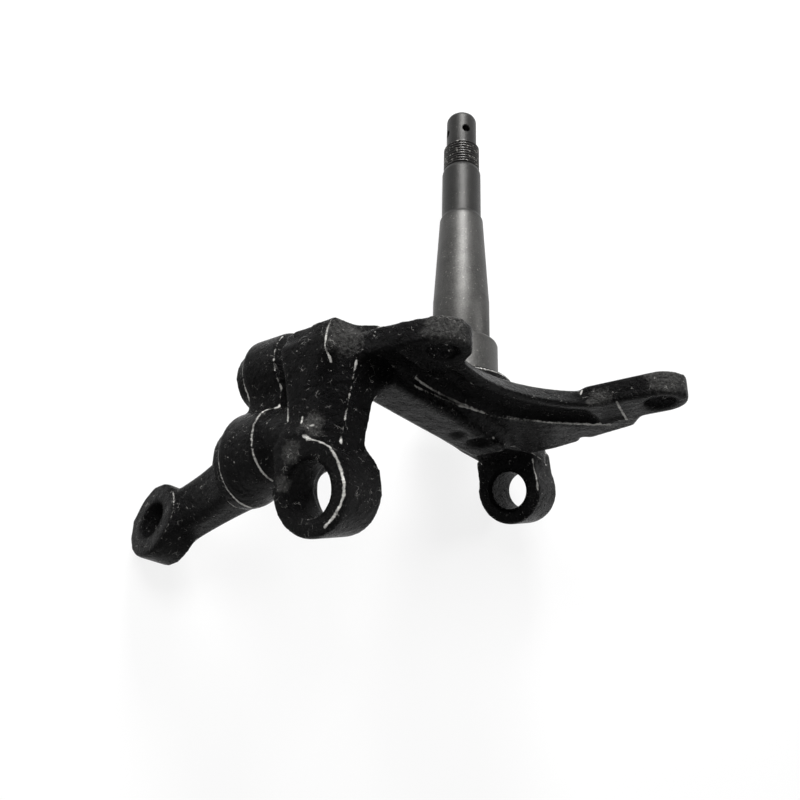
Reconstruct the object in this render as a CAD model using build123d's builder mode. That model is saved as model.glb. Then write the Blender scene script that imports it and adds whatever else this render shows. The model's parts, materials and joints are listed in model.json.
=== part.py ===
from build123d import *
from math import cos, radians, sin, tan
import os

os.makedirs("parts", exist_ok=True)

# Frame: the spindle axis is Y with its tip towards -Y, Z is up in the car,
# and the inner bearing's shoulder lies in the plane Y = 0. Sizes in mm.
# Every x below is measured towards the caliper. The caliper is on the -X side,
# so the part is drawn as the other hand first and mirrored at the end.

# Spindle
inner_seat_d = 26.0
inner_seat_len = 22.0
taper_len = 44.5
outer_seat_d = 19.05
outer_seat_len = 27.5
seat_step = 0.9
seat_chamfer = 2.2
thread_d = 18.0
thread_len = 14.0
thread_chamfer = 1.2
tip_d = 15.0
tip_len = 20.8
tip_chamfer = 1.8
cotter_hole_d = 4.0
cotter_from_tip = 10.5
cotter_angle = 40.0

# Bearing shoulder and hub
collar_d = 33.0
collar_len = 20.0
collar_chamfer = 2.0
collar_fillet = 2.3
disc_d = 46.0
disc_len = 7.0
disc_chamfer = 1.5

# Caliper side: a curved wing between two ears, cut by a round clearance
ear_y = 48.5
ear_t = 9.0
ear_r = 9.8
ear_hole_d = 10.5
ear_a_x, ear_a_z = 41.3, 79.8
ear_b_x, ear_b_z = 86.8, 3.6
ear_b_block = 26.0
clear_r = 54.0
clear_x, clear_z = 97.0, 58.5
clear_shift_x, clear_shift_z = 7.5, 4.0
wing_top_x, wing_top_z = 31.0, 91.5
wing_low_x, wing_low_z = 33.0, -24.0
wing_end_x, wing_end_z = 71.0, -14.0
wing_notch_x = 76.5
wing_foot = 3.0
edge_hole_d = 4.8
edge_hole_x, edge_hole_z = 47.9, -19.3
channel_depth = 2.6
channel_lip = 6.5
channel_w = 14.0
pad_r = 13.5

# Rail behind the spindle
rail_y = 55.5
rail_root_d = 44.0
rail_overlap = 1.0
rail_x0, rail_x1 = 7.5, 23.5
rail_z0, rail_z1 = 3.0, 82.0
rail_hole_d = 5.5
rail_hole_x, rail_hole_z = 15.5, 28.0
rail_hole_depth = 9.0
rail_pocket_d = 10.5
rail_pocket_x, rail_pocket_z = 18.6, 15.0
rail_pocket_depth = 3.0

# Steering axis, inclined in a plane across the car, and the two eyes on it
axis_tilt = 14.0
axis_x, axis_y = -1.5, 67.9
eye_r = 15.9
upper_eye_z = 92.0
upper_eye_len = 20.0
upper_bore_d = 18.6
upper_relief_d = 24.0
upper_relief_len = 5.0
lower_eye_z = -45.0
lower_eye_len = 21.0
lower_bore_d = 17.6
lug_y0, lug_y1 = 32.0, 43.5
lug_x0, lug_x1 = -12.5, 20.0
lug_z0, lug_z1 = -64.0, 12.0
lug_fold_z = -22.0
lug_lean = 1.5
foot_x, foot_z, foot_r = 0.5, -48.5, 15.0
foot_top_z = -33.0
eye_flat = 1.0
shoulder_x0, shoulder_x1 = -14.4, 1.5
shoulder_y = 20.8
shoulder_cut = 5.0

# Neck that carries the upper eye
neck_y0, neck_y1 = 39.5, 78.0
neck_x0, neck_x1 = -14.0, 18.0
neck_z0, neck_z1 = 80.0, 92.6
neck_peak_x, neck_peak_z = 2.0, 98.6
neck_drop = 1.0
brow_y0, brow_y1 = 34.0, 46.0
brow_side_z, brow_peak_z = 96.0, 98.2
brow_peak_x, brow_foot_x, brow_foot_z = 10.0, 12.7, 89.2
brow_end_x, brow_end_z = 19.0, 85.4
neck_end_x0, neck_end_x1 = -12.0, 7.5
neck_end_z0, neck_end_z1 = 75.5, 88.0

# Steering arm side: two posts, a two-lobed flange and the arm
lobe1_y, lobe1_z, lobe1_r = 34.0, 72.5, 14.5
lobe2_y, lobe2_z, lobe2_r = 69.5, 75.5, 17.8
lobe2_inner_y = 67.5
lobe2_inner_z, lobe2_inner_r = 79.5, 14.0
post1_r = 12.5
post2_r = 12.8
post_end_x = -6.0
flange_x0, flange_x1 = -28.5, -45.5
waist_z0, waist_z1 = 64.0, 81.5
flange_round = 1.5
pad1_r, pad2_r = 12.6, 16.0
pad1_y, pad2_y = 36.0, 71.5
lobe_pad_h = 5.0
arm_root_x, arm_root_y, arm_root_z = -44.0, 72.0, 75.0
arm_root_w, arm_root_h = 25.0, 20.0
arm_mid_x, arm_mid_y, arm_mid_z = -70.0, 80.5, 72.5
arm_mid_w, arm_mid_h = 21.0, 15.0
arm_round = 4.5
arm_end_x, arm_end_y, arm_end_z = -96.0, 87.0, 79.8
boss_r = 15.3
boss_len = 14.0
boss_lean_x, boss_lean_y = 8.3, 6.4
arm_hole_d = 14.0


def at_depth(y):
    """Plane across the spindle at depth y: local x is X, local y is Z."""
    return Plane.XZ.offset(-y)


def steering_point(z):
    """Point of the steering axis at height z."""
    return (axis_x, axis_y + z * tan(radians(axis_tilt)), z)


def eye_plane(z):
    """Plane across the steering axis: local x is X, local y points inboard."""
    up = (0, sin(radians(axis_tilt)), cos(radians(axis_tilt)))
    return Plane(origin=steering_point(z), x_dir=(1, 0, 0), z_dir=up)


# Levels along the spindle that follow from its lengths
thread_r = thread_d / 2
seat_r = outer_seat_d / 2
inner_r = inner_seat_d / 2
tip_r = tip_d / 2
taper_y = -inner_seat_len - taper_len
seat_end_y = taper_y - outer_seat_len
thread_y0 = seat_end_y - seat_chamfer
thread_y1 = thread_y0 - thread_len
tip_y = thread_y1 - tip_len
disc_y = collar_len + disc_len

# Spindle, shoulder and disc, turned about one axis
with BuildPart() as spindle:
    with BuildSketch(Plane.XY):
        Polygon(
            (0, tip_y),
            (tip_r - tip_chamfer, tip_y),
            (tip_r, tip_y + tip_chamfer),
            (tip_r, thread_y1),
            (thread_r - thread_chamfer, thread_y1),
            (thread_r, thread_y1 + thread_chamfer),
            (thread_r, thread_y0),
            (seat_r, seat_end_y),
            (seat_r, taper_y - seat_chamfer),
            (seat_r + seat_step, taper_y),
            (inner_r, -inner_seat_len),
            (inner_r, 0),
            (collar_d / 2 - collar_chamfer, 0),
            (collar_d / 2, collar_chamfer),
            (collar_d / 2, collar_len),
            (disc_d / 2 - disc_chamfer, collar_len),
            (disc_d / 2, collar_len + disc_chamfer),
            (disc_d / 2, disc_y),
            (0, disc_y),
            align=None,
        )
    revolve(axis=Axis.Y)
    # The blend at the foot of the collar
    foot = spindle.edges().filter_by(GeomType.CIRCLE).filter_by_position(Axis.Y, collar_len, collar_len)
    fillet(foot.sort_by(SortBy.RADIUS)[0], radius=collar_fillet)
    for turn in (0, 90):
        lean = radians(cotter_angle + turn)
        hole_plane = Plane(
            origin=(0, tip_y + cotter_from_tip, 0), x_dir=(0, 1, 0), z_dir=(cos(lean), 0, sin(lean))
        )
        with BuildSketch(hole_plane):
            Circle(cotter_hole_d / 2)
        extrude(amount=tip_d, both=True, mode=Mode.SUBTRACT)

# Flared body between the disc and the rail on the inboard side
with BuildPart() as rail:
    with BuildSketch(at_depth(disc_y - rail_overlap)):
        Circle(rail_root_d / 2)
    with BuildSketch(at_depth(rail_y)):
        with Locations(((rail_x0 + rail_x1) / 2, (rail_z0 + rail_z1) / 2)):
            Rectangle(rail_x1 - rail_x0, rail_z1 - rail_z0)
    loft()

# Web from the disc down to the lower eye, and the ramp at the rail's foot
with BuildPart() as web:
    with BuildSketch(Plane.YZ.offset(lug_x0)):
        Polygon(
            (disc_y - rail_overlap, lug_z1),
            (lug_y1 - lug_lean, lug_z1),
            (lug_y1, lug_fold_z),
            (lug_y1, lug_z0),
            (lug_y0, lug_z0),
            (disc_y - rail_overlap, lug_fold_z),
            align=None,
        )
    extrude(amount=lug_x1 - lug_x0)
    # Seen along the spindle the web narrows to the eye and ends in a round
    with BuildSketch(at_depth(lug_y0)):
        Polygon(
            (lug_x0, lug_z1),
            (lug_x1, lug_z1),
            (lug_x1, lug_fold_z),
            (foot_x + foot_r, foot_top_z),
            (foot_x + foot_r, foot_z),
            (foot_x - foot_r, foot_z),
            (foot_x - foot_r, lug_fold_z),
            (lug_x0, lug_fold_z),
            align=None,
        )
        with Locations((foot_x, foot_z)):
            Circle(foot_r)
    extrude(amount=2 * rail_y, both=True, mode=Mode.INTERSECT)
    with BuildSketch(Plane.YZ.offset(rail_x0)):
        Polygon(
            (rail_y, rail_z0),
            (lug_y1, lug_fold_z),
            (lug_y0, lug_fold_z),
            (lug_y0, lug_z1),
            (rail_y, lug_z1),
            align=None,
        )
    extrude(amount=lug_x1 - rail_x0)

# Wing with the ears' plate, cut by the leaning round clearance
with BuildPart() as wing:
    with BuildSketch(at_depth(ear_y)):
        Polygon(
            (neck_x1, neck_z1),
            (wing_top_x, wing_top_z),
            (ear_a_x, ear_a_z + ear_r),
            (ear_b_x, ear_b_z + ear_r),
            (ear_b_x, ear_b_z - ear_r),
            (wing_notch_x, ear_b_z - ear_r),
            (wing_end_x, wing_end_z),
            (wing_low_x, wing_low_z),
            (lug_x1, lug_fold_z - wing_foot),
            (0, lug_z1),
            (0, neck_z1),
            align=None,
        )
    extrude(amount=ear_t)
    with BuildSketch(at_depth(ear_y)):
        with Locations((clear_x, clear_z)):
            Circle(clear_r)
    with BuildSketch(at_depth(ear_y - ear_t)):
        with Locations((clear_x - clear_shift_x, clear_z - clear_shift_z)):
            Circle(clear_r)
    loft(mode=Mode.SUBTRACT)
    # Shallow channel that follows the clearance on the inboard face
    with BuildSketch(at_depth(ear_y)):
        with Locations((clear_x, clear_z)):
            Circle(clear_r + channel_lip + channel_w)
            Circle(clear_r + channel_lip, mode=Mode.SUBTRACT)
        with Locations((ear_a_x, ear_a_z)):
            Circle(pad_r, mode=Mode.SUBTRACT)
        with Locations((ear_b_x - ear_r, ear_b_z)):
            Rectangle(2 * pad_r, 4 * pad_r, mode=Mode.SUBTRACT)
    extrude(amount=channel_depth, mode=Mode.SUBTRACT)

# Ears for the caliper
with BuildPart() as ears:
    with BuildSketch(at_depth(ear_y)):
        with Locations((ear_a_x, ear_a_z), (ear_b_x, ear_b_z)):
            Circle(ear_r)
        with Locations((ear_b_x - ear_b_block / 2, ear_b_z)):
            Rectangle(ear_b_block, 2 * ear_r)
        with Locations((ear_a_x - ear_r, ear_a_z)):
            Rectangle(2 * ear_r, 2 * ear_r)
    extrude(amount=ear_t)

# Eyes on the steering axis; the lower one carries its lug outboard
with BuildPart() as eyes:
    with BuildSketch(eye_plane(upper_eye_z)):
        Circle(eye_r)
        Polygon(
            (shoulder_x0, 0),
            (shoulder_x0, shoulder_cut - shoulder_y),
            (shoulder_x0 + shoulder_cut, -shoulder_y),
            (shoulder_x1, -shoulder_y),
            (shoulder_x1, 0),
            align=None,
        )
    extrude(amount=-upper_eye_len)
    with BuildSketch(eye_plane(lower_eye_z)):
        Circle(eye_r)
        with Locations((0, -eye_r / 2)):
            Rectangle(2 * (eye_r - eye_flat), eye_r)
    extrude(amount=-lower_eye_len)

# Neck from the head of the wing back to the upper eye
with BuildPart() as neck:
    with BuildSketch(at_depth(neck_y0)):
        Polygon(
            (neck_x0, neck_z0),
            (neck_x1, neck_z0),
            (neck_x1, neck_z1),
            (neck_peak_x, neck_peak_z),
            (neck_x0, neck_peak_z),
            align=None,
        )
    with BuildSketch(at_depth(neck_y1)):
        Polygon(
            (neck_end_x0, neck_end_z0),
            (neck_end_x1, neck_end_z0),
            (neck_end_x1, neck_end_z1),
            (neck_peak_x, neck_end_z1 + neck_drop),
            (neck_end_x0, neck_end_z1 + neck_drop),
            align=None,
        )
    loft()
    # Brow that stands out above the neck and runs to a peak
    with BuildSketch(at_depth(brow_y1)):
        Polygon(
            (neck_x0, neck_z0),
            (brow_end_x, neck_z0),
            (brow_end_x, brow_end_z),
            (brow_foot_x, brow_foot_z),
            (brow_peak_x, brow_peak_z),
            (neck_x0, brow_side_z),
            align=None,
        )
    extrude(amount=brow_y1 - brow_y0)

# Two posts and the two-lobed flange of the steering arm
with BuildPart() as flange:
    with BuildSketch(Plane.YZ.offset(flange_x1)):
        with Locations((lobe2_y, lobe2_z)):
            Circle(lobe2_r)
    with BuildSketch(Plane.YZ.offset(flange_x0)):
        with Locations((lobe2_inner_y, lobe2_inner_z)):
            Circle(lobe2_inner_r)
    loft()
    with BuildSketch(Plane.YZ.offset(flange_x1)):
        with Locations((lobe1_y, lobe1_z)):
            Circle(lobe1_r)
        with Locations(((lobe1_y + lobe2_y) / 2, (waist_z0 + waist_z1) / 2)):
            Rectangle(lobe2_y - lobe1_y, waist_z1 - waist_z0)
    extrude(amount=flange_x0 - flange_x1)
    with BuildSketch(Plane.YZ.offset(flange_x1)):
        with Locations((pad1_y, lobe1_z)):
            Circle(pad1_r)
        with Locations((pad2_y, lobe2_z)):
            Circle(pad2_r)
    extrude(amount=-lobe_pad_h)
    with BuildSketch(Plane.YZ.offset(flange_x0)):
        with Locations((lobe1_y, lobe1_z)):
            Circle(post1_r)
        with Locations((lobe2_inner_y, lobe2_inner_z)):
            Circle(post2_r)
    extrude(amount=post_end_x - flange_x0)

# Steering arm and the boss for the track rod end
boss_plane = Plane(
    origin=(arm_end_x, arm_end_y, arm_end_z),
    x_dir=(0, 1, 0),
    z_dir=(-sin(radians(boss_lean_x)), -sin(radians(boss_lean_y)), cos(radians(boss_lean_x))),
)
with BuildPart() as arm:
    with BuildSketch(Plane.YZ.offset(arm_root_x)):
        with Locations((arm_root_y, arm_root_z)):
            RectangleRounded(arm_root_w, arm_root_h, arm_round)
    with BuildSketch(Plane.YZ.offset(arm_mid_x)):
        with Locations((arm_mid_y, arm_mid_z)):
            RectangleRounded(arm_mid_w, arm_mid_h, arm_round)
    with BuildSketch(Plane.YZ.offset(arm_end_x + boss_r / 2)):
        with Locations((arm_end_y, arm_end_z - boss_len / 2)):
            RectangleRounded(arm_mid_w, arm_mid_h, arm_round)
    loft()
    with BuildSketch(boss_plane):
        Circle(boss_r)
    extrude(amount=-boss_len)

# One forging: everything joined, then the holes
with BuildPart() as other_hand:
    for piece in (spindle, rail, web, wing, ears, eyes, neck, flange, arm):
        add(piece.part)
    with BuildSketch(at_depth(ear_y)):
        with Locations((ear_a_x, ear_a_z), (ear_b_x, ear_b_z)):
            Circle(ear_hole_d / 2)
    extrude(amount=ear_t, mode=Mode.SUBTRACT)
    with BuildSketch(eye_plane(upper_eye_z)):
        Circle(upper_bore_d / 2)
    extrude(amount=-upper_eye_len, mode=Mode.SUBTRACT)
    with BuildSketch(eye_plane(upper_eye_z).offset(-upper_eye_len)):
        Circle(upper_relief_d / 2)
    extrude(amount=upper_relief_len, mode=Mode.SUBTRACT)
    with BuildSketch(eye_plane(lower_eye_z)):
        Circle(lower_bore_d / 2)
    extrude(amount=-2 * lower_eye_len, mode=Mode.SUBTRACT)
    with BuildSketch(boss_plane):
        Circle(arm_hole_d / 2)
    extrude(amount=-boss_len, mode=Mode.SUBTRACT)
    with BuildSketch(at_depth(rail_y)):
        with Locations((rail_hole_x, rail_hole_z)):
            Circle(rail_hole_d / 2)
    extrude(amount=rail_hole_depth, mode=Mode.SUBTRACT)
    with BuildSketch(at_depth(rail_y)):
        with Locations((rail_pocket_x, rail_pocket_z)):
            Circle(rail_pocket_d / 2)
    extrude(amount=rail_pocket_depth, mode=Mode.SUBTRACT)
    with BuildSketch(at_depth(ear_y)):
        with Locations((edge_hole_x, edge_hole_z)):
            Circle(edge_hole_d / 2)
    extrude(amount=ear_t, mode=Mode.SUBTRACT)

# The hand that is wanted, with the caliper on the -X side
with BuildPart() as knuckle:
    add(mirror(other_hand.part, about=Plane.YZ))

knuckle.part.label = "knuckle"
export_step(knuckle.part, "parts/knuckle.step")
print("volume cm3", round(knuckle.part.volume / 1000, 1), "solids", len(knuckle.part.solids()))
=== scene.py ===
# %% [markdown]
# # A steering knuckle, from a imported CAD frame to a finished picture
# The real part is one steel forging: a turned spindle on one side, two eyes
# for the ball joints, a wing with two bolt ears and a bent steering arm. The
# frame gives every size, so this lesson only adds what a CAD model lacks: the
# soft blends of a forging, the thread, black paint and wear.

# %% Load the frame
import bmesh
import bpy
import json
import math
from mathutils import Matrix, Vector
from mathutils.kdtree import KDTree


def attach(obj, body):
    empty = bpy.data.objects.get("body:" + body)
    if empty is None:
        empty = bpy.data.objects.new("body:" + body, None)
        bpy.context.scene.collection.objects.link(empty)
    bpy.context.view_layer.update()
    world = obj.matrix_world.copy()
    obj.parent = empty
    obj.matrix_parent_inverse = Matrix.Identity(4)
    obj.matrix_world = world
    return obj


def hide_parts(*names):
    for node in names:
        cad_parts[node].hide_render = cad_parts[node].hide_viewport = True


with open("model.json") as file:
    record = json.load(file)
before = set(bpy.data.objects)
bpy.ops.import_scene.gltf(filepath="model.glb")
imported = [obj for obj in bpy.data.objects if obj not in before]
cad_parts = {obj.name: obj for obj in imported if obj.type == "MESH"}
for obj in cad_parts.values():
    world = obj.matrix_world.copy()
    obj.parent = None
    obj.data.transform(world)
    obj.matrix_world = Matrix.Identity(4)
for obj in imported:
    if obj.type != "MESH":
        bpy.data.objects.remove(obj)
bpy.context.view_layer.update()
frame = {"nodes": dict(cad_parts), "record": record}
MM = 0.001
node = frame["nodes"]["knuckle"]

# %% [markdown]
# ## The camera
# The picture was taken from above with a normal lens. The three axes below
# are the camera's right, up and back directions in the part's own frame. They
# are the columns of its rotation, which saves working out three angles.

# %% Camera
camera_place = Vector((-0.15998, 0.15711, 0.26484))
camera_right = Vector((-0.81562, -0.03303, -0.57764))
camera_up = Vector((-0.19829, -0.92195, 0.3327))
camera_back = camera_right.cross(camera_up)

camera_data = bpy.data.cameras.new("camera")
camera_data.lens = 34.2
camera_data.sensor_width = 36.0
camera_data.clip_start = 0.01
camera = bpy.data.objects.new("camera", camera_data)
bpy.context.collection.objects.link(camera)
turned = Matrix((camera_right, camera_up, camera_back)).transposed().to_4x4()
camera.matrix_world = Matrix.Translation(camera_place) @ turned
bpy.context.scene.camera = camera
print("camera at", [round(c, 4) for c in camera_place])

# %% [markdown]
# ## Working with operators
# Blender's operators act on whatever is selected and active. A few short
# helpers keep that under control: they pick one piece, open it in edit mode
# with just the wanted parts selected, and add a modifier and apply it at once.


# %% Helpers for operators
def pick(piece):
    """Make one piece the only selected and active object."""
    bpy.ops.object.select_all(action="DESELECT")
    piece.hide_set(False)
    piece.select_set(True)
    bpy.context.view_layer.objects.active = piece


def open_all(piece):
    """Open a piece in edit mode with everything selected."""
    pick(piece)
    bpy.ops.object.mode_set(mode="EDIT")
    bpy.ops.mesh.select_all(action="SELECT")


def open_only(piece, parts, wanted):
    """Open a piece in edit mode with only the wanted vertices or polygons selected."""
    pick(piece)
    bpy.ops.object.mode_set(mode="EDIT")
    bpy.ops.mesh.select_all(action="DESELECT")
    bpy.ops.object.mode_set(mode="OBJECT")
    for part in getattr(piece.data, parts):
        part.select = wanted(part)
    bpy.ops.object.mode_set(mode="EDIT")


def close():
    """Leave edit mode."""
    bpy.ops.object.mode_set(mode="OBJECT")


def finish_with(piece, kind, **settings):
    """Add one modifier with its settings and apply it."""
    pick(piece)
    modifier = piece.modifiers.new(kind.lower(), kind)
    for name, value in settings.items():
        setattr(modifier, name, value)
    bpy.ops.object.modifier_apply(modifier=modifier.name)


def freeze(piece):
    """Put a piece's place into its mesh, so that its object sits at the origin."""
    pick(piece)
    bpy.ops.object.transform_apply(location=True, rotation=True, scale=True)


def count(piece):
    """The number of triangles in a piece."""
    return sum(len(p.vertices) - 2 for p in piece.data.polygons)


bpy.ops.object.select_all(action="DESELECT")
print("helpers ready")

# %% [markdown]
# ## The forging's body
# The body is hammered from hot steel in a die. The CAD solid already has its
# shape, so its mesh is copied and its loose triangles are merged. The spindle
# is cut off at the disc, because it is turned and finished in another way.

# %% Copy the solid and cut off the spindle
disc_face = 20.0 * MM
forging = bpy.data.objects.new("forging", node.data.copy())
bpy.context.collection.objects.link(forging)
forging.data.materials.clear()
open_all(forging)
bpy.ops.mesh.remove_doubles(threshold=0.01 * MM)
close()
welded = forging.data.copy()

open_all(forging)
bpy.ops.mesh.bisect(plane_co=(0, disc_face, 0), plane_no=(0, 1, 0), use_fill=True, clear_inner=True)
close()
print("forging copied:", count(forging), "triangles")

# %% [markdown]
# A forging has no sharp inner corners: the metal flows round them in the die.
# The Remesh modifier turns the body into even small cells. Swelling the skin
# and shrinking it back by the same amount then fills the inner corners with a
# round blend and leaves the outer ones in place. One bevel could not do this,
# because the corners meet each other at every angle.

# %% Round the inner corners
cell = 0.9 * MM
blend = 2.6 * MM
finish_with(forging, "REMESH", mode="VOXEL", voxel_size=cell)
for swell in (blend, -blend):
    finish_with(forging, "DISPLACE", strength=swell, mid_level=0.0)
    finish_with(forging, "REMESH", mode="VOXEL", voxel_size=cell)
finish_with(forging, "SMOOTH", factor=0.5, iterations=1)
print("blended:", count(forging), "triangles")

# %% [markdown]
# ## Bores and bolt holes
# The swelling closes small holes and softens big ones, and the real ones are
# drilled after forging. So each hole is cut again with a tool of its true size.
# A tool is a cylinder whose ends are opened by a short chamfer. The frame's
# record says where each hole is, so no place is typed twice.


# %% A cutting tool
def tool(name, middle, axis, radius, length, chamfer):
    """A round cutter along an axis, with an open chamfer at both ends."""
    run_out = 6 * MM
    straight = length - 2 * chamfer
    turn = Vector((0, 0, 1)).rotation_difference(Vector(axis)).to_euler()
    bpy.ops.object.select_all(action="DESELECT")
    bpy.ops.mesh.primitive_cylinder_add(
        vertices=72, radius=radius, depth=straight, location=middle, rotation=turn
    )
    cutter = bpy.context.object
    cutter.name = name
    for side in (1, -1):
        open_only(cutter, "polygons", lambda face: face.normal.z * side > 0.9)
        for step, wide in ((chamfer, (radius + chamfer) / radius), (run_out, 1.0)):
            bpy.ops.mesh.extrude_region()
            way = cutter.matrix_world.to_3x3() @ Vector((0, 0, side * step))
            bpy.ops.transform.translate(value=way)
            centre = cutter.matrix_world @ Vector((0, 0, side * (straight / 2 + step)))
            bpy.ops.transform.resize(value=(wide, wide, wide), center_override=centre)
        close()
    freeze(cutter)
    return cutter


def cut_with(piece, cutter):
    """Cut a piece with a tool and put the tool away."""
    finish_with(piece, "BOOLEAN", object=cutter, operation="DIFFERENCE", solver="EXACT")
    bpy.data.objects.remove(cutter)


print("tool ready")

# %% Cut the holes
mounts = {m["name"]: m for m in frame["record"]["mounts"]}
chamfers = {
    "upper_ball_joint": 0.8 * MM,
    "lower_ball_joint": 1.6 * MM,
    "track_rod_end": 0.8 * MM,
    "caliper_ear_upper": 0.6 * MM,
    "caliper_ear_lower": 0.6 * MM,
}
for name, chamfer in chamfers.items():
    mount = mounts[name]
    radius = mount["dims"]["r_mm"] * MM
    length = mount["dims"]["length_mm"] * MM
    cut_with(forging, tool(name, mount["pos_m"], mount["axis"], radius, length, chamfer))
    print("cut", name, "radius", round(radius / MM, 2), "->", count(forging), "triangles")

# %% [markdown]
# ## The spindle
# The spindle is turned on a lathe: bearing seats, a taper between them, a
# thread and a plain end. It is built as a lathe would leave it, ring by ring
# from the end: a circle is extruded along the axis and scaled to each radius.
# The rings can follow every step and chamfer, and the mesh stays in one piece,
# which a stack of plain cylinders would not.

# %% The rings of the spindle
seat_r, inner_r, collar_r = 9.525, 13.0, 16.5
thread_root_r, thread_r, tip_r = 8.15, 8.95, 7.5
stations = (
    (-131.0, 5.2), (-130.8, 5.7), (-129.6, 6.9), (-128.6, 7.4), (-127.6, tip_r), (-111.0, tip_r),
    (-110.4, thread_root_r), (-97.2, thread_root_r), (-96.4, thread_r),
    (-94.8, seat_r - 0.1), (-94.2, seat_r), (-68.7, seat_r), (-67.9, seat_r + 0.25),
    (-66.6, 10.35), (-66.2, 10.45), (-22.4, 12.9),
    (-21.6, inner_r), (-0.9, inner_r), (-0.5, inner_r - 0.25), (0.0, inner_r - 0.25),
    (0.0, collar_r - 2.2), (0.4, collar_r - 1.2), (1.2, collar_r - 0.4), (2.2, collar_r),
    (19.4, collar_r), (22.0, collar_r + 1.2),
)
print("spindle from", stations[0], "to", stations[-1], "(place and radius in mm)")

# %% Turn the spindle
quarter = math.pi / 2
here_y, here_r = stations[0]
bpy.ops.object.select_all(action="DESELECT")
bpy.ops.mesh.primitive_circle_add(
    vertices=96, radius=here_r * MM, fill_type="NGON", location=(0, here_y * MM, 0), rotation=(quarter, 0, 0)
)
spindle = bpy.context.object
spindle.name = "spindle"
freeze(spindle)
open_all(spindle)
for y, r in stations[1:]:
    bpy.ops.mesh.extrude_region()
    bpy.ops.transform.translate(value=(0, (y - here_y) * MM, 0))
    wide = r / here_r
    bpy.ops.transform.resize(value=(wide, 1, wide), center_override=(0, y * MM, 0))
    here_y, here_r = y, r
bpy.ops.mesh.select_all(action="SELECT")
bpy.ops.mesh.normals_make_consistent(inside=False)
close()
print("spindle turned:", len(stations), "rings")

# %% [markdown]
# Near the end, two holes cross at right angles, so that the split pin that
# locks the hub nut always finds one of them. They are drilled with the same
# kind of tool as the bores.

# %% Drill the split pin holes
pin_y, pin_r, pin_chamfer = -119.3 * MM, 2.0 * MM, 0.5 * MM
shaft = 15.2 * MM
for angle in (math.radians(40), math.radians(130)):
    way = (-math.cos(angle), 0, math.sin(angle))
    cut_with(spindle, tool("drill", (0, pin_y, 0), way, pin_r, shaft, pin_chamfer))
print("split pin holes drilled:", count(spindle), "triangles")

# %% [markdown]
# A thread is a ridge wound round the shaft. One tooth is drawn as a small
# plane, narrowed at its crest, and the Screw modifier winds it up at the
# pitch of the thread. Rings side by side would look alike at first, but their
# ends would never run out as the turns of a real thread do.

# %% Draw one tooth
pitch, turns = 1.5, 8.6
tooth_root, tooth_crest = thread_root_r - 0.3, thread_r - 0.05
root_wide, crest_wide = 0.84 * pitch, 0.14 * pitch
tooth_middle = Vector(((tooth_root + tooth_crest) / 2 * MM, 0, 0))
bpy.ops.object.select_all(action="DESELECT")
bpy.ops.mesh.primitive_plane_add(size=1.0, location=tooth_middle, rotation=(quarter, 0, 0))
thread = bpy.context.object
thread.name = "thread"
freeze(thread)
open_all(thread)
tooth_size = ((tooth_crest - tooth_root) * MM, 1, root_wide * MM)
bpy.ops.transform.resize(value=tooth_size, center_override=tooth_middle)
close()
open_only(thread, "vertices", lambda corner: corner.co.x > tooth_middle.x)
bpy.ops.transform.resize(value=(1, 1, crest_wide / root_wide), center_override=tooth_middle)
close()
print("tooth corners in mm:", [[round(c / MM, 3) for c in v.co] for v in thread.data.vertices])

# %% Wind the thread
thread_foot = -97.4 * MM
steps = int(64 * turns)
finish_with(
    thread, "SCREW", axis="Z", angle=2 * math.pi * turns, screw_offset=pitch * turns * MM,
    steps=steps, render_steps=steps, use_merge_vertices=False,
)
thread.rotation_euler = (quarter, 0, 0)
thread.location = (0, thread_foot, 0)
freeze(thread)
open_all(thread)
bpy.ops.mesh.normals_make_consistent(inside=False)
close()
print("thread wound:", turns, "turns,", count(thread), "triangles")

# %% [markdown]
# ## Where the paint is worn
# Paint rubs off along the outer edges first. So the outer edges of the solid
# are gathered as points, one every 0.4 mm. An edge counts where its two faces
# turn outwards by more than 28 degrees. A few edges of the solid are only soft
# humps on the real part, and they are left out by their place.

# %% Find the outer edges
sharp = math.radians(28)
shortest, spacing = 1.2 * MM, 0.4 * MM
soft_humps = (
    ((-20, 16), (37, 50.5), (88, 200)),
    ((-30, -4), (48, 60), (72, 200)),
    ((-40, -26), (38, 49), (83, 200)),
)


def soft(point):
    """True inside one of the boxes, in millimetres, where the edges are soft."""
    return any(all(low < c < high for c, (low, high) in zip(point / MM, box)) for box in soft_humps)


edges = bmesh.new()
edges.from_mesh(welded)
points = []
for edge in edges.edges:
    if len(edge.link_faces) == 2 and edge.is_convex and edge.calc_face_angle(0) > sharp:
        a, b = (v.co for v in edge.verts)
        length = (b - a).length
        on_body = max(a.y, b.y) > disc_face + 0.5 * MM
        if on_body and length > shortest and not soft((a + b) / 2):
            parts = max(1, int(length / spacing))
            points += [a.lerp(b, i / parts) for i in range(parts + 1)]
edges.free()
print("outer edges:", len(points), "points")

# %% [markdown]
# The real part also has lines that are no edge in the solid: the seams and
# ridges that the die left across its faces. Their corners are given in
# millimetres. Some are worn bright, and two of them stand up a little.

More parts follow.
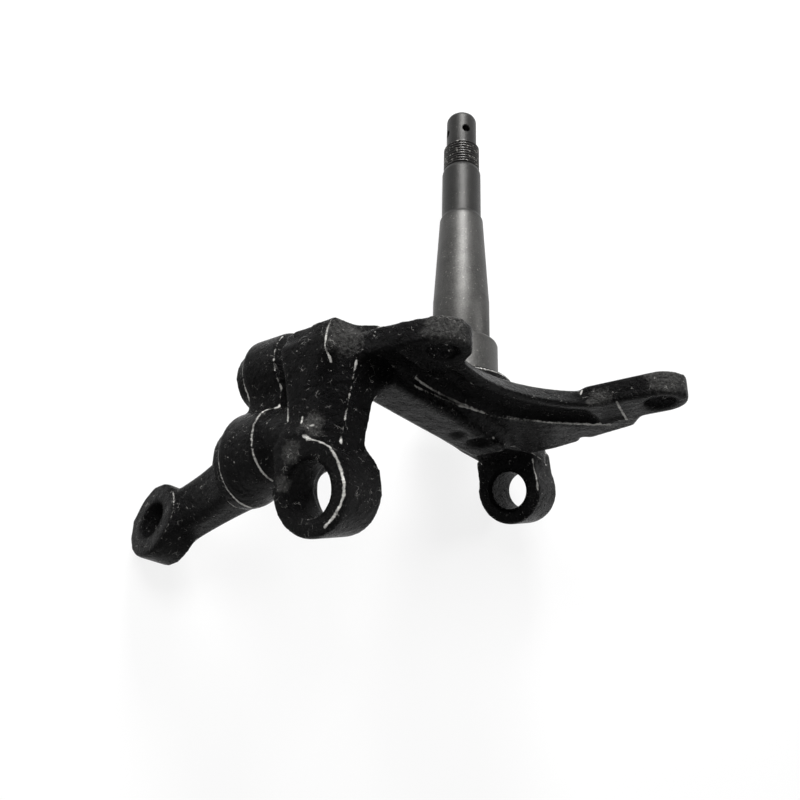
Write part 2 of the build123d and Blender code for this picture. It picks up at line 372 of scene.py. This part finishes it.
# %% Lines across the faces
ridge_line = (
    (-22.9, 48.6, 82.7), (-22.3, 51.1, 68.7), (-22.2, 50.7, 60.6), (-23.4, 49.5, 43.7), (-28.5, 48.4, 24.7),
    (-36.1, 48.3, 13.7), (-45.6, 47.8, 4.2), (-57.5, 48.0, -5.0), (-70.2, 48.5, -4.5),
)
faint_line = ((-29.9, 48.3, 89.1), (-30.2, 48.5, 76.3), (-28.1, 45.9, 60.6), (-39.0, 48.4, 51.6))
peak_line = ((-9.0, 34.5, 97.4), (-7.2, 38.7, 97.9), (-6.7, 44.1, 97.8), (-7.0, 49.1, 94.5))
eye_line = (
    (1.3, 74.1, 96.1), (-3.9, 76.3, 94.5), (-8.6, 79.0, 93.9), (-11.2, 82.6, 93.7), (-12.9, 86.9, 92.8),
    (-13.5, 90.9, 91.7), (-13.1, 94.4, 90.9), (-11.3, 97.5, 90.3), (-8.1, 100.7, 89.5), (-4.1, 103.3, 88.8),
)
lug_line = ((-13.2, 45.7, -42.7), (-13.4, 51.4, -44.8), (-13.6, 58.4, -45.9))
pad_line = ((-73.7, 48.2, 12.3), (-72.4, 48.5, 4.8), (-70.8, 48.5, -6.1))


def along_line(corners, step=0.3):
    """Points in metres along a line given by its corners in millimetres."""
    found = []
    for a, b in zip(corners, corners[1:]):
        a, b = Vector(a), Vector(b)
        parts = max(1, int((b - a).length / step))
        found += [a.lerp(b, i / parts) * MM for i in range(parts)]
    return found


def lookup(places):
    """A tree that finds the nearest of many points."""
    tree = KDTree(len(places))
    for i, place in enumerate(places):
        tree.insert(place, i)
    tree.balance()
    return tree


for corners in (peak_line, eye_line, lug_line, ridge_line, pad_line):
    points += along_line(corners)
print("with the lines:", len(points), "points")

# %% [markdown]
# The two ridges are raised by moving each point of the skin near them along
# its normal. The height falls off like a wave to both sides of the line.
# Several hundred points need a height of their own, which a loop gives them.

# %% Raise the ridges
ridge_high = 0.55 * MM
ridge_reach = 1.6
raised = lookup(along_line(ridge_line) + along_line(faint_line))
moved = 0
for v in forging.data.vertices:
    away = raised.find(v.co)[2] / MM
    if away < ridge_reach:
        v.co += v.normal * (ridge_high * math.cos(away / ridge_reach * math.pi / 2) ** 2)
        moved += 1
print("ridges raised:", moved, "points")

# %% [markdown]
# The distance from each point of the skin to the nearest worn line is stored
# on the mesh as an attribute, which the paint reads. The lines are thinner
# than a cell, so the faces near them are divided first.

# %% Store the distance to the worn lines
fine_zone, furthest = 0.72 * MM, 10.0
worn = lookup(points)
open_only(forging, "polygons", lambda face: worn.find(face.center)[2] < fine_zone)
bpy.ops.mesh.subdivide(number_cuts=1)
close()

distances = [min(worn.find(v.co)[2] / MM, furthest) for v in forging.data.vertices]
wear = forging.data.attributes.new("edge_distance", "FLOAT", "POINT")
wear.data.foreach_set("value", distances)
print("nearest", round(min(distances), 3), "mm;", count(forging), "triangles")

# %% [markdown]
# ## Finishes
# A material is a network of nodes. To write one as plain maths, a small class
# wraps a socket, and its operators add the Math nodes. A second class holds
# the network and adds every other node in one way.


# %% Shader maths
class Value:
    """A node socket that can be used in Python expressions."""

    def __init__(self, net, socket):
        self.net = net
        self.socket = socket

    def maths(self, operation, first, second):
        return self.net.add("ShaderNodeMath", {"operation": operation}, {0: first, 1: second})

    def __add__(self, other):
        return self.maths("ADD", self, other)

    __radd__ = __add__

    def __mul__(self, other):
        return self.maths("MULTIPLY", self, other)

    __rmul__ = __mul__

    def __sub__(self, other):
        return self.maths("SUBTRACT", self, other)

    def __rsub__(self, other):
        return self.maths("SUBTRACT", other, self)

    def most(self, other):
        return self.maths("MAXIMUM", self, other)

    def least(self, other):
        return self.maths("MINIMUM", self, other)

    def ramp(self, low, high):
        """0 below low and 1 above high, with a straight slope between."""
        sockets = {0: self, 1: low, 2: high, 3: 0.0, 4: 1.0}
        return self.net.add("ShaderNodeMapRange", {"clamp": True}, sockets)


class Net:
    """A tree of nodes and the one method that adds to it."""

    def __init__(self, tree):
        self.tree = tree

    def add(self, kind, settings=None, sockets=None, out=0):
        node = self.tree.nodes.new(kind)
        for name, value in (settings or {}).items():
            setattr(node, name, value)
        for name, value in (sockets or {}).items():
            self.give(node.inputs[name], value)
        return Value(self, node.outputs[out])

    def give(self, socket, value):
        if isinstance(value, Value):
            self.tree.links.new(value.socket, socket)
        else:
            socket.default_value = value

    def shown(self):
        """1 for what the camera sees, straight or by reflection, and 0 for light."""
        rays = ("Is Camera Ray", "Is Glossy Ray", "Is Transmission Ray")
        camera_ray, glossy, clear = (self.add("ShaderNodeLightPath", out=ray) for ray in rays)
        return camera_ray.most(glossy).most(clear)


print("maths ready")


# %% Finishes as materials
class Finish(Net):
    """A material whose shader's sockets are set by name."""

    def __init__(self, name, **sockets):
        self.material = bpy.data.materials.new(name)
        self.material.use_nodes = True
        super().__init__(self.material.node_tree)
        self.shader = self.tree.nodes["Principled BSDF"]
        self.place = self.add("ShaderNodeTexCoord", out="Object")
        self.set(**sockets)

    def set(self, **sockets):
        for key, value in sockets.items():
            self.give(self.shader.inputs[key.replace("_", " ")], value)

    def noise(self, size, detail=3.0, rough=0.55, out=0):
        """Cloudy noise whose blotches are about `size` millimetres."""
        sockets = {"Vector": self.place, "Scale": 1 / (size * MM), "Detail": detail, "Roughness": rough}
        return self.add("ShaderNodeTexNoise", {}, sockets, out)

    def mix(self, mask, dark, light):
        """One colour where the mask is 0 and another where it is 1."""
        return self.add("ShaderNodeMix", {"data_type": "RGBA"}, {0: mask, 6: dark, 7: light}, out=2)

    def bump(self, height, depth, strength=1.0):
        """A rough surface from a height and its depth in millimetres."""
        sockets = {"Height": height, "Distance": depth * MM, "Strength": strength}
        return self.add("ShaderNodeBump", {}, sockets)


print("finishes ready")

# %% [markdown]
# The paint is a thick black that follows the rough skin of the forging. It is
# rubbed to bright metal along the worn lines and nicked where the part was
# handled. Small light flecks and thin bright curves on it are painted glints of
# the rough skin, and a few grey places are partly real scuff marks and partly
# painted sheen on faces that light from above brightens. Each kind of wear and
# painted light is a mask from 0 to 1 with noise of its own size, so that one can
# be made weaker without the others.

# %% Noise for the paint
paint = Finish("black_paint", IOR=1.2, Specular_IOR_Level=0.13)
skin = paint.noise(3.4, detail=7.0, rough=0.68)
grain = paint.noise(1.0, detail=4.0, rough=0.65)
dents = paint.noise(8.0, rough=0.5)
broad = paint.noise(22.0, detail=2.0)
fray = paint.noise(2.2, detail=5.0, rough=0.75)
print("noise nodes:", len(paint.tree.nodes))

# %% Rubbed lines, nicks and painted glint flecks
edge = paint.add("ShaderNodeAttribute", {"attribute_name": "edge_distance"}, out="Fac")
along = 0.5 + 0.5 * paint.noise(13.0).ramp(0.40, 0.54)
rubbed = (1 - (edge + (fray - 0.5) * 1.5).ramp(0.26, 0.56)) * along
nicks = paint.noise(2.2, rough=0.6).ramp(0.72, 0.75) * paint.noise(15.0).ramp(0.44, 0.54)
# The light flecks in this mask are painted glints of the rough skin.
glint_specks = grain.ramp(0.65, 0.71) * paint.noise(7.0, detail=2.0).ramp(0.42, 0.6)
print("with the rubbed lines:", len(paint.tree.nodes))

# %% [markdown]
# Thin bright curves are painted glints of the rough skin. A Voronoi pattern gives
# the distance to the border of small cells, and a little noise on its place bends
# the borders. Close to a border the colour is painted light, and the borders also
# dent the bump a little.

# %% Painted glints along bent cell borders
wander = 3.5 * MM
stir = paint.noise(1000 / 420, detail=2.0, rough=0.5, out="Color")
bend = {0: stir, 1: (wander, wander, wander), 2: paint.place}
bent = paint.add("ShaderNodeVectorMath", {"operation": "MULTIPLY_ADD"}, bend)
cells = {"Vector": bent, "Scale": 330.0}
cell_borders = paint.add("ShaderNodeTexVoronoi", {"feature": "DISTANCE_TO_EDGE"}, cells)
glint_strokes = (1 - cell_borders.ramp(0.008, 0.026)) * paint.noise(3.0, detail=2.0).ramp(0.58, 0.66)
print("with the cracks:", len(paint.tree.nodes))

# %% Scuff marks and painted sheen, each with its middle and reach in mm
# These grey places are partly real scuff marks and partly painted sheen on faces that light from above
# brightens.
scuff_and_sheen_spots = (
    ((7.0, 78.3, 95.1), 5.0),
    ((12.0, 87.8, 92.7), 4.0),
    ((0.9, 69.2, 93.4), 6.5),
    ((-12.3, 40.5, 94.6), 9.0),
    ((-48.7, 43.0, 88.0), 11.0),
    ((-92.0, 42.0, 12.0), 9.0),
    ((-67.8, 46.5, 13.4), 6.0),
)
scuff_and_sheen_patches = 0.0
for middle, reach in scuff_and_sheen_spots:
    ends = {0: paint.place, 1: [c * MM for c in middle]}
    away = paint.add("ShaderNodeVectorMath", {"operation": "DISTANCE"}, ends, out="Value")
    scuff_and_sheen_patches = scuff_and_sheen_patches + (1 - (away * (1000.0 / reach) + (fray - 0.5) * 1.6).ramp(0.55, 0.9))
scuffed_and_sheen = scuff_and_sheen_patches.least(1.0) * (0.35 + 0.65 * grain.ramp(0.4, 0.65))
print("scuffed places:", len(scuff_and_sheen_spots))

# %% Black paint over the forging
# The light mask joins real wear, the rubbed lines and nicks, with painted glints; the grey tone under it
# joins soot, scuff marks and painted sheen.
bare_and_glints = rubbed.most(nicks * 0.6).most(glint_specks * 0.3).most(glint_strokes * 0.3).least(1.0)
soot = paint.mix(broad.ramp(0.35, 0.7), (0.0012, 0.0012, 0.0013, 1), (0.0046, 0.0045, 0.0046, 1))
scuff_and_sheen_tone = paint.mix(scuffed_and_sheen * 0.75, soot, (0.06, 0.059, 0.057, 1))
paint.set(
    Base_Color=paint.mix(bare_and_glints * (0.45 + fray * 0.75), scuff_and_sheen_tone, (0.66, 0.65, 0.62, 1)),
    Roughness=0.13 + skin.ramp(0.3, 0.7) * 0.2 + bare_and_glints * 0.2,
    Metallic=bare_and_glints * 0.3,
    Normal=paint.bump(skin + dents * 1.5 + grain * 0.2 + cell_borders.ramp(0.0, 0.12) * 0.1, 1.9),
)
forging.data.materials.append(paint.material)
print("paint nodes:", len(paint.tree.nodes))

# %% [markdown]
# The spindle is machined steel with a dark grey coat, dull and finely
# speckled, and darker from the outer bearing seat on. Its shader is nearly all
# metal, so the colour tints what it reflects.

# %% Dark coat on the spindle
steel = Finish("dark_steel")
speck = steel.noise(0.7, detail=4.0, rough=0.7)
cloud = steel.noise(9.0)
bright = steel.noise(1.1, detail=2.0).ramp(0.66, 0.74)
tone = steel.mix(cloud.ramp(0.3, 0.7), (0.03, 0.0295, 0.0285, 1), (0.058, 0.057, 0.055, 1))
tone = steel.mix(speck.ramp(0.35, 0.75) * 0.6, tone, (0.11, 0.108, 0.103, 1))
tone = steel.mix(bright * 0.5, tone, (0.3, 0.29, 0.27, 1))
outward = steel.add("ShaderNodeSeparateXYZ", {}, {0: steel.place}, out="Y") * -1000.0
steel.set(
    Base_Color=steel.mix(0.25 + outward.ramp(65.0, 67.5) * 0.48, tone, (0.0, 0.0, 0.0, 1)),
    Roughness=0.36 + speck * 0.2,
    Metallic=0.85,
    Normal=steel.bump(speck, 0.12, 0.6),
)
spindle.data.materials.append(steel.material)
print("steel nodes:", len(steel.tree.nodes))

# %% [markdown]
# On the thread the coat is chipped by the nut, and bright steel shows through
# in small flakes. One mask makes both the lighter colour and the duller shine.

# %% Chipped coat on the thread
chipped = Finish("thread_steel", Metallic=0.7)
chips = chipped.noise(1.3).ramp(0.58, 0.66)
chipped.set(
    Base_Color=chipped.mix(chips, (0.035, 0.034, 0.033, 1), (0.32, 0.31, 0.29, 1)),
    Roughness=0.34 + chips * 0.15,
)
thread.data.materials.append(chipped.material)
print("thread nodes:", len(chipped.tree.nodes))

# %% [markdown]
# ## Shade and join to the frame
# The pieces take the place of the CAD solid and ride on the only body. Edges
# sharper than 32 degrees stay crisp, and the rest is shaded smooth.

# %% Shade smooth and ride
crisp = math.radians(32)
for piece in (forging, spindle, thread):
    pick(piece)
    bpy.ops.object.shade_smooth_by_angle(angle=crisp)
    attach(piece, "root")
    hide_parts("knuckle")
    print(piece.name, count(piece), "triangles")

# %% [markdown]
# ## The table
# The part lies on a white table. In the part's own frame the table leans, and
# table_up points away from it. The lowest point of the solid along that
# direction says where the table is.

# %% Floor
table_up = Vector((-0.825, 0.232, 0.515)).normalized()
gap = 0.2 * MM
lowest = min(table_up.dot(v.co) for v in welded.vertices)
floor_place = table_up * (lowest - gap)
lean = Vector((0, 0, 1)).rotation_difference(table_up).to_euler()
bpy.ops.object.select_all(action="DESELECT")
bpy.ops.mesh.primitive_plane_add(size=6.0, location=floor_place, rotation=lean)
floor = bpy.context.object
floor.name = "floor"
freeze(floor)
print("floor at", [round(c, 4) for c in floor_place])

# %% [markdown]
# A table that is lit to pure white would send too much light up at the part.
# So it glows white only for the rays that show it, and stays plain for the
# rays that light. A little of its plain surface is mixed in, which keeps the
# shadow. From below it is clear, so that it never hides the part.

# %% The table's finish
table = Finish("pale_table", Base_Color=(0.93, 0.93, 0.93, 1), Roughness=0.9)
plain = Value(table, table.shader.outputs[0])
glow = table.add("ShaderNodeEmission", {}, {"Color": (1, 1, 1, 1), "Strength": 1.0})
paler = table.add("ShaderNodeMixShader", {}, {0: 0.84, 1: plain, 2: glow})
front = table.add("ShaderNodeMixShader", {}, {0: table.shown(), 1: plain, 2: paler})
behind = table.add("ShaderNodeNewGeometry", out="Backfacing")
clear = table.add("ShaderNodeBsdfTransparent")
both = table.add("ShaderNodeMixShader", {}, {0: behind, 1: front, 2: clear})
table.give(table.tree.nodes["Material Output"].inputs["Surface"], both)
floor.data.materials.append(table.material)
print("table nodes:", len(table.tree.nodes))

# %% [markdown]
# ## Light
# Black paint shows its shape mostly by what it reflects. Three square lamps
# make soft shines on it, and the world around is white where it is seen
# or reflected but weak as a light, so the black stays black.

# %% The world
world = bpy.data.worlds.new("studio")
bpy.context.scene.world = world
world.use_nodes = True
sky = Net(world.node_tree)
background = sky.tree.nodes["Background"]
dim = 0.13
sky.give(background.inputs["Color"], (1, 1, 1, 1))
sky.give(background.inputs["Strength"], dim + sky.shown() * (1 - dim))
print("world ready")


# %% Lamps
def softbox(name, way, far, size, power):
    """A square soft light that looks at the part from a direction."""
    light = bpy.data.lights.new(name, "AREA")
    light.shape, light.size, light.energy = "SQUARE", size, power
    lamp = bpy.data.objects.new(name, light)
    bpy.context.collection.objects.link(lamp)
    aim = Vector(way).normalized()
    part_middle = Vector((0, 0.02, 0.03))
    lamp.location = part_middle + aim * far
    lamp.rotation_euler = aim.to_track_quat("Z", "Y").to_euler()


softbox("key", camera_back + camera_up * 0.85, far=0.9, size=0.3, power=7.0)
softbox("top", camera_up + table_up * 0.25, far=0.9, size=0.24, power=13.0)
softbox("side", camera_right + (camera_up + camera_back) * 0.3, far=0.9, size=0.25, power=3.0)

# %% [markdown]
# ## Finish
# The colour view is set to Standard, and the scene is brought up to date.

# %% Set the colour view
bpy.context.scene.view_settings.view_transform = "Standard"
bpy.context.view_layer.update()
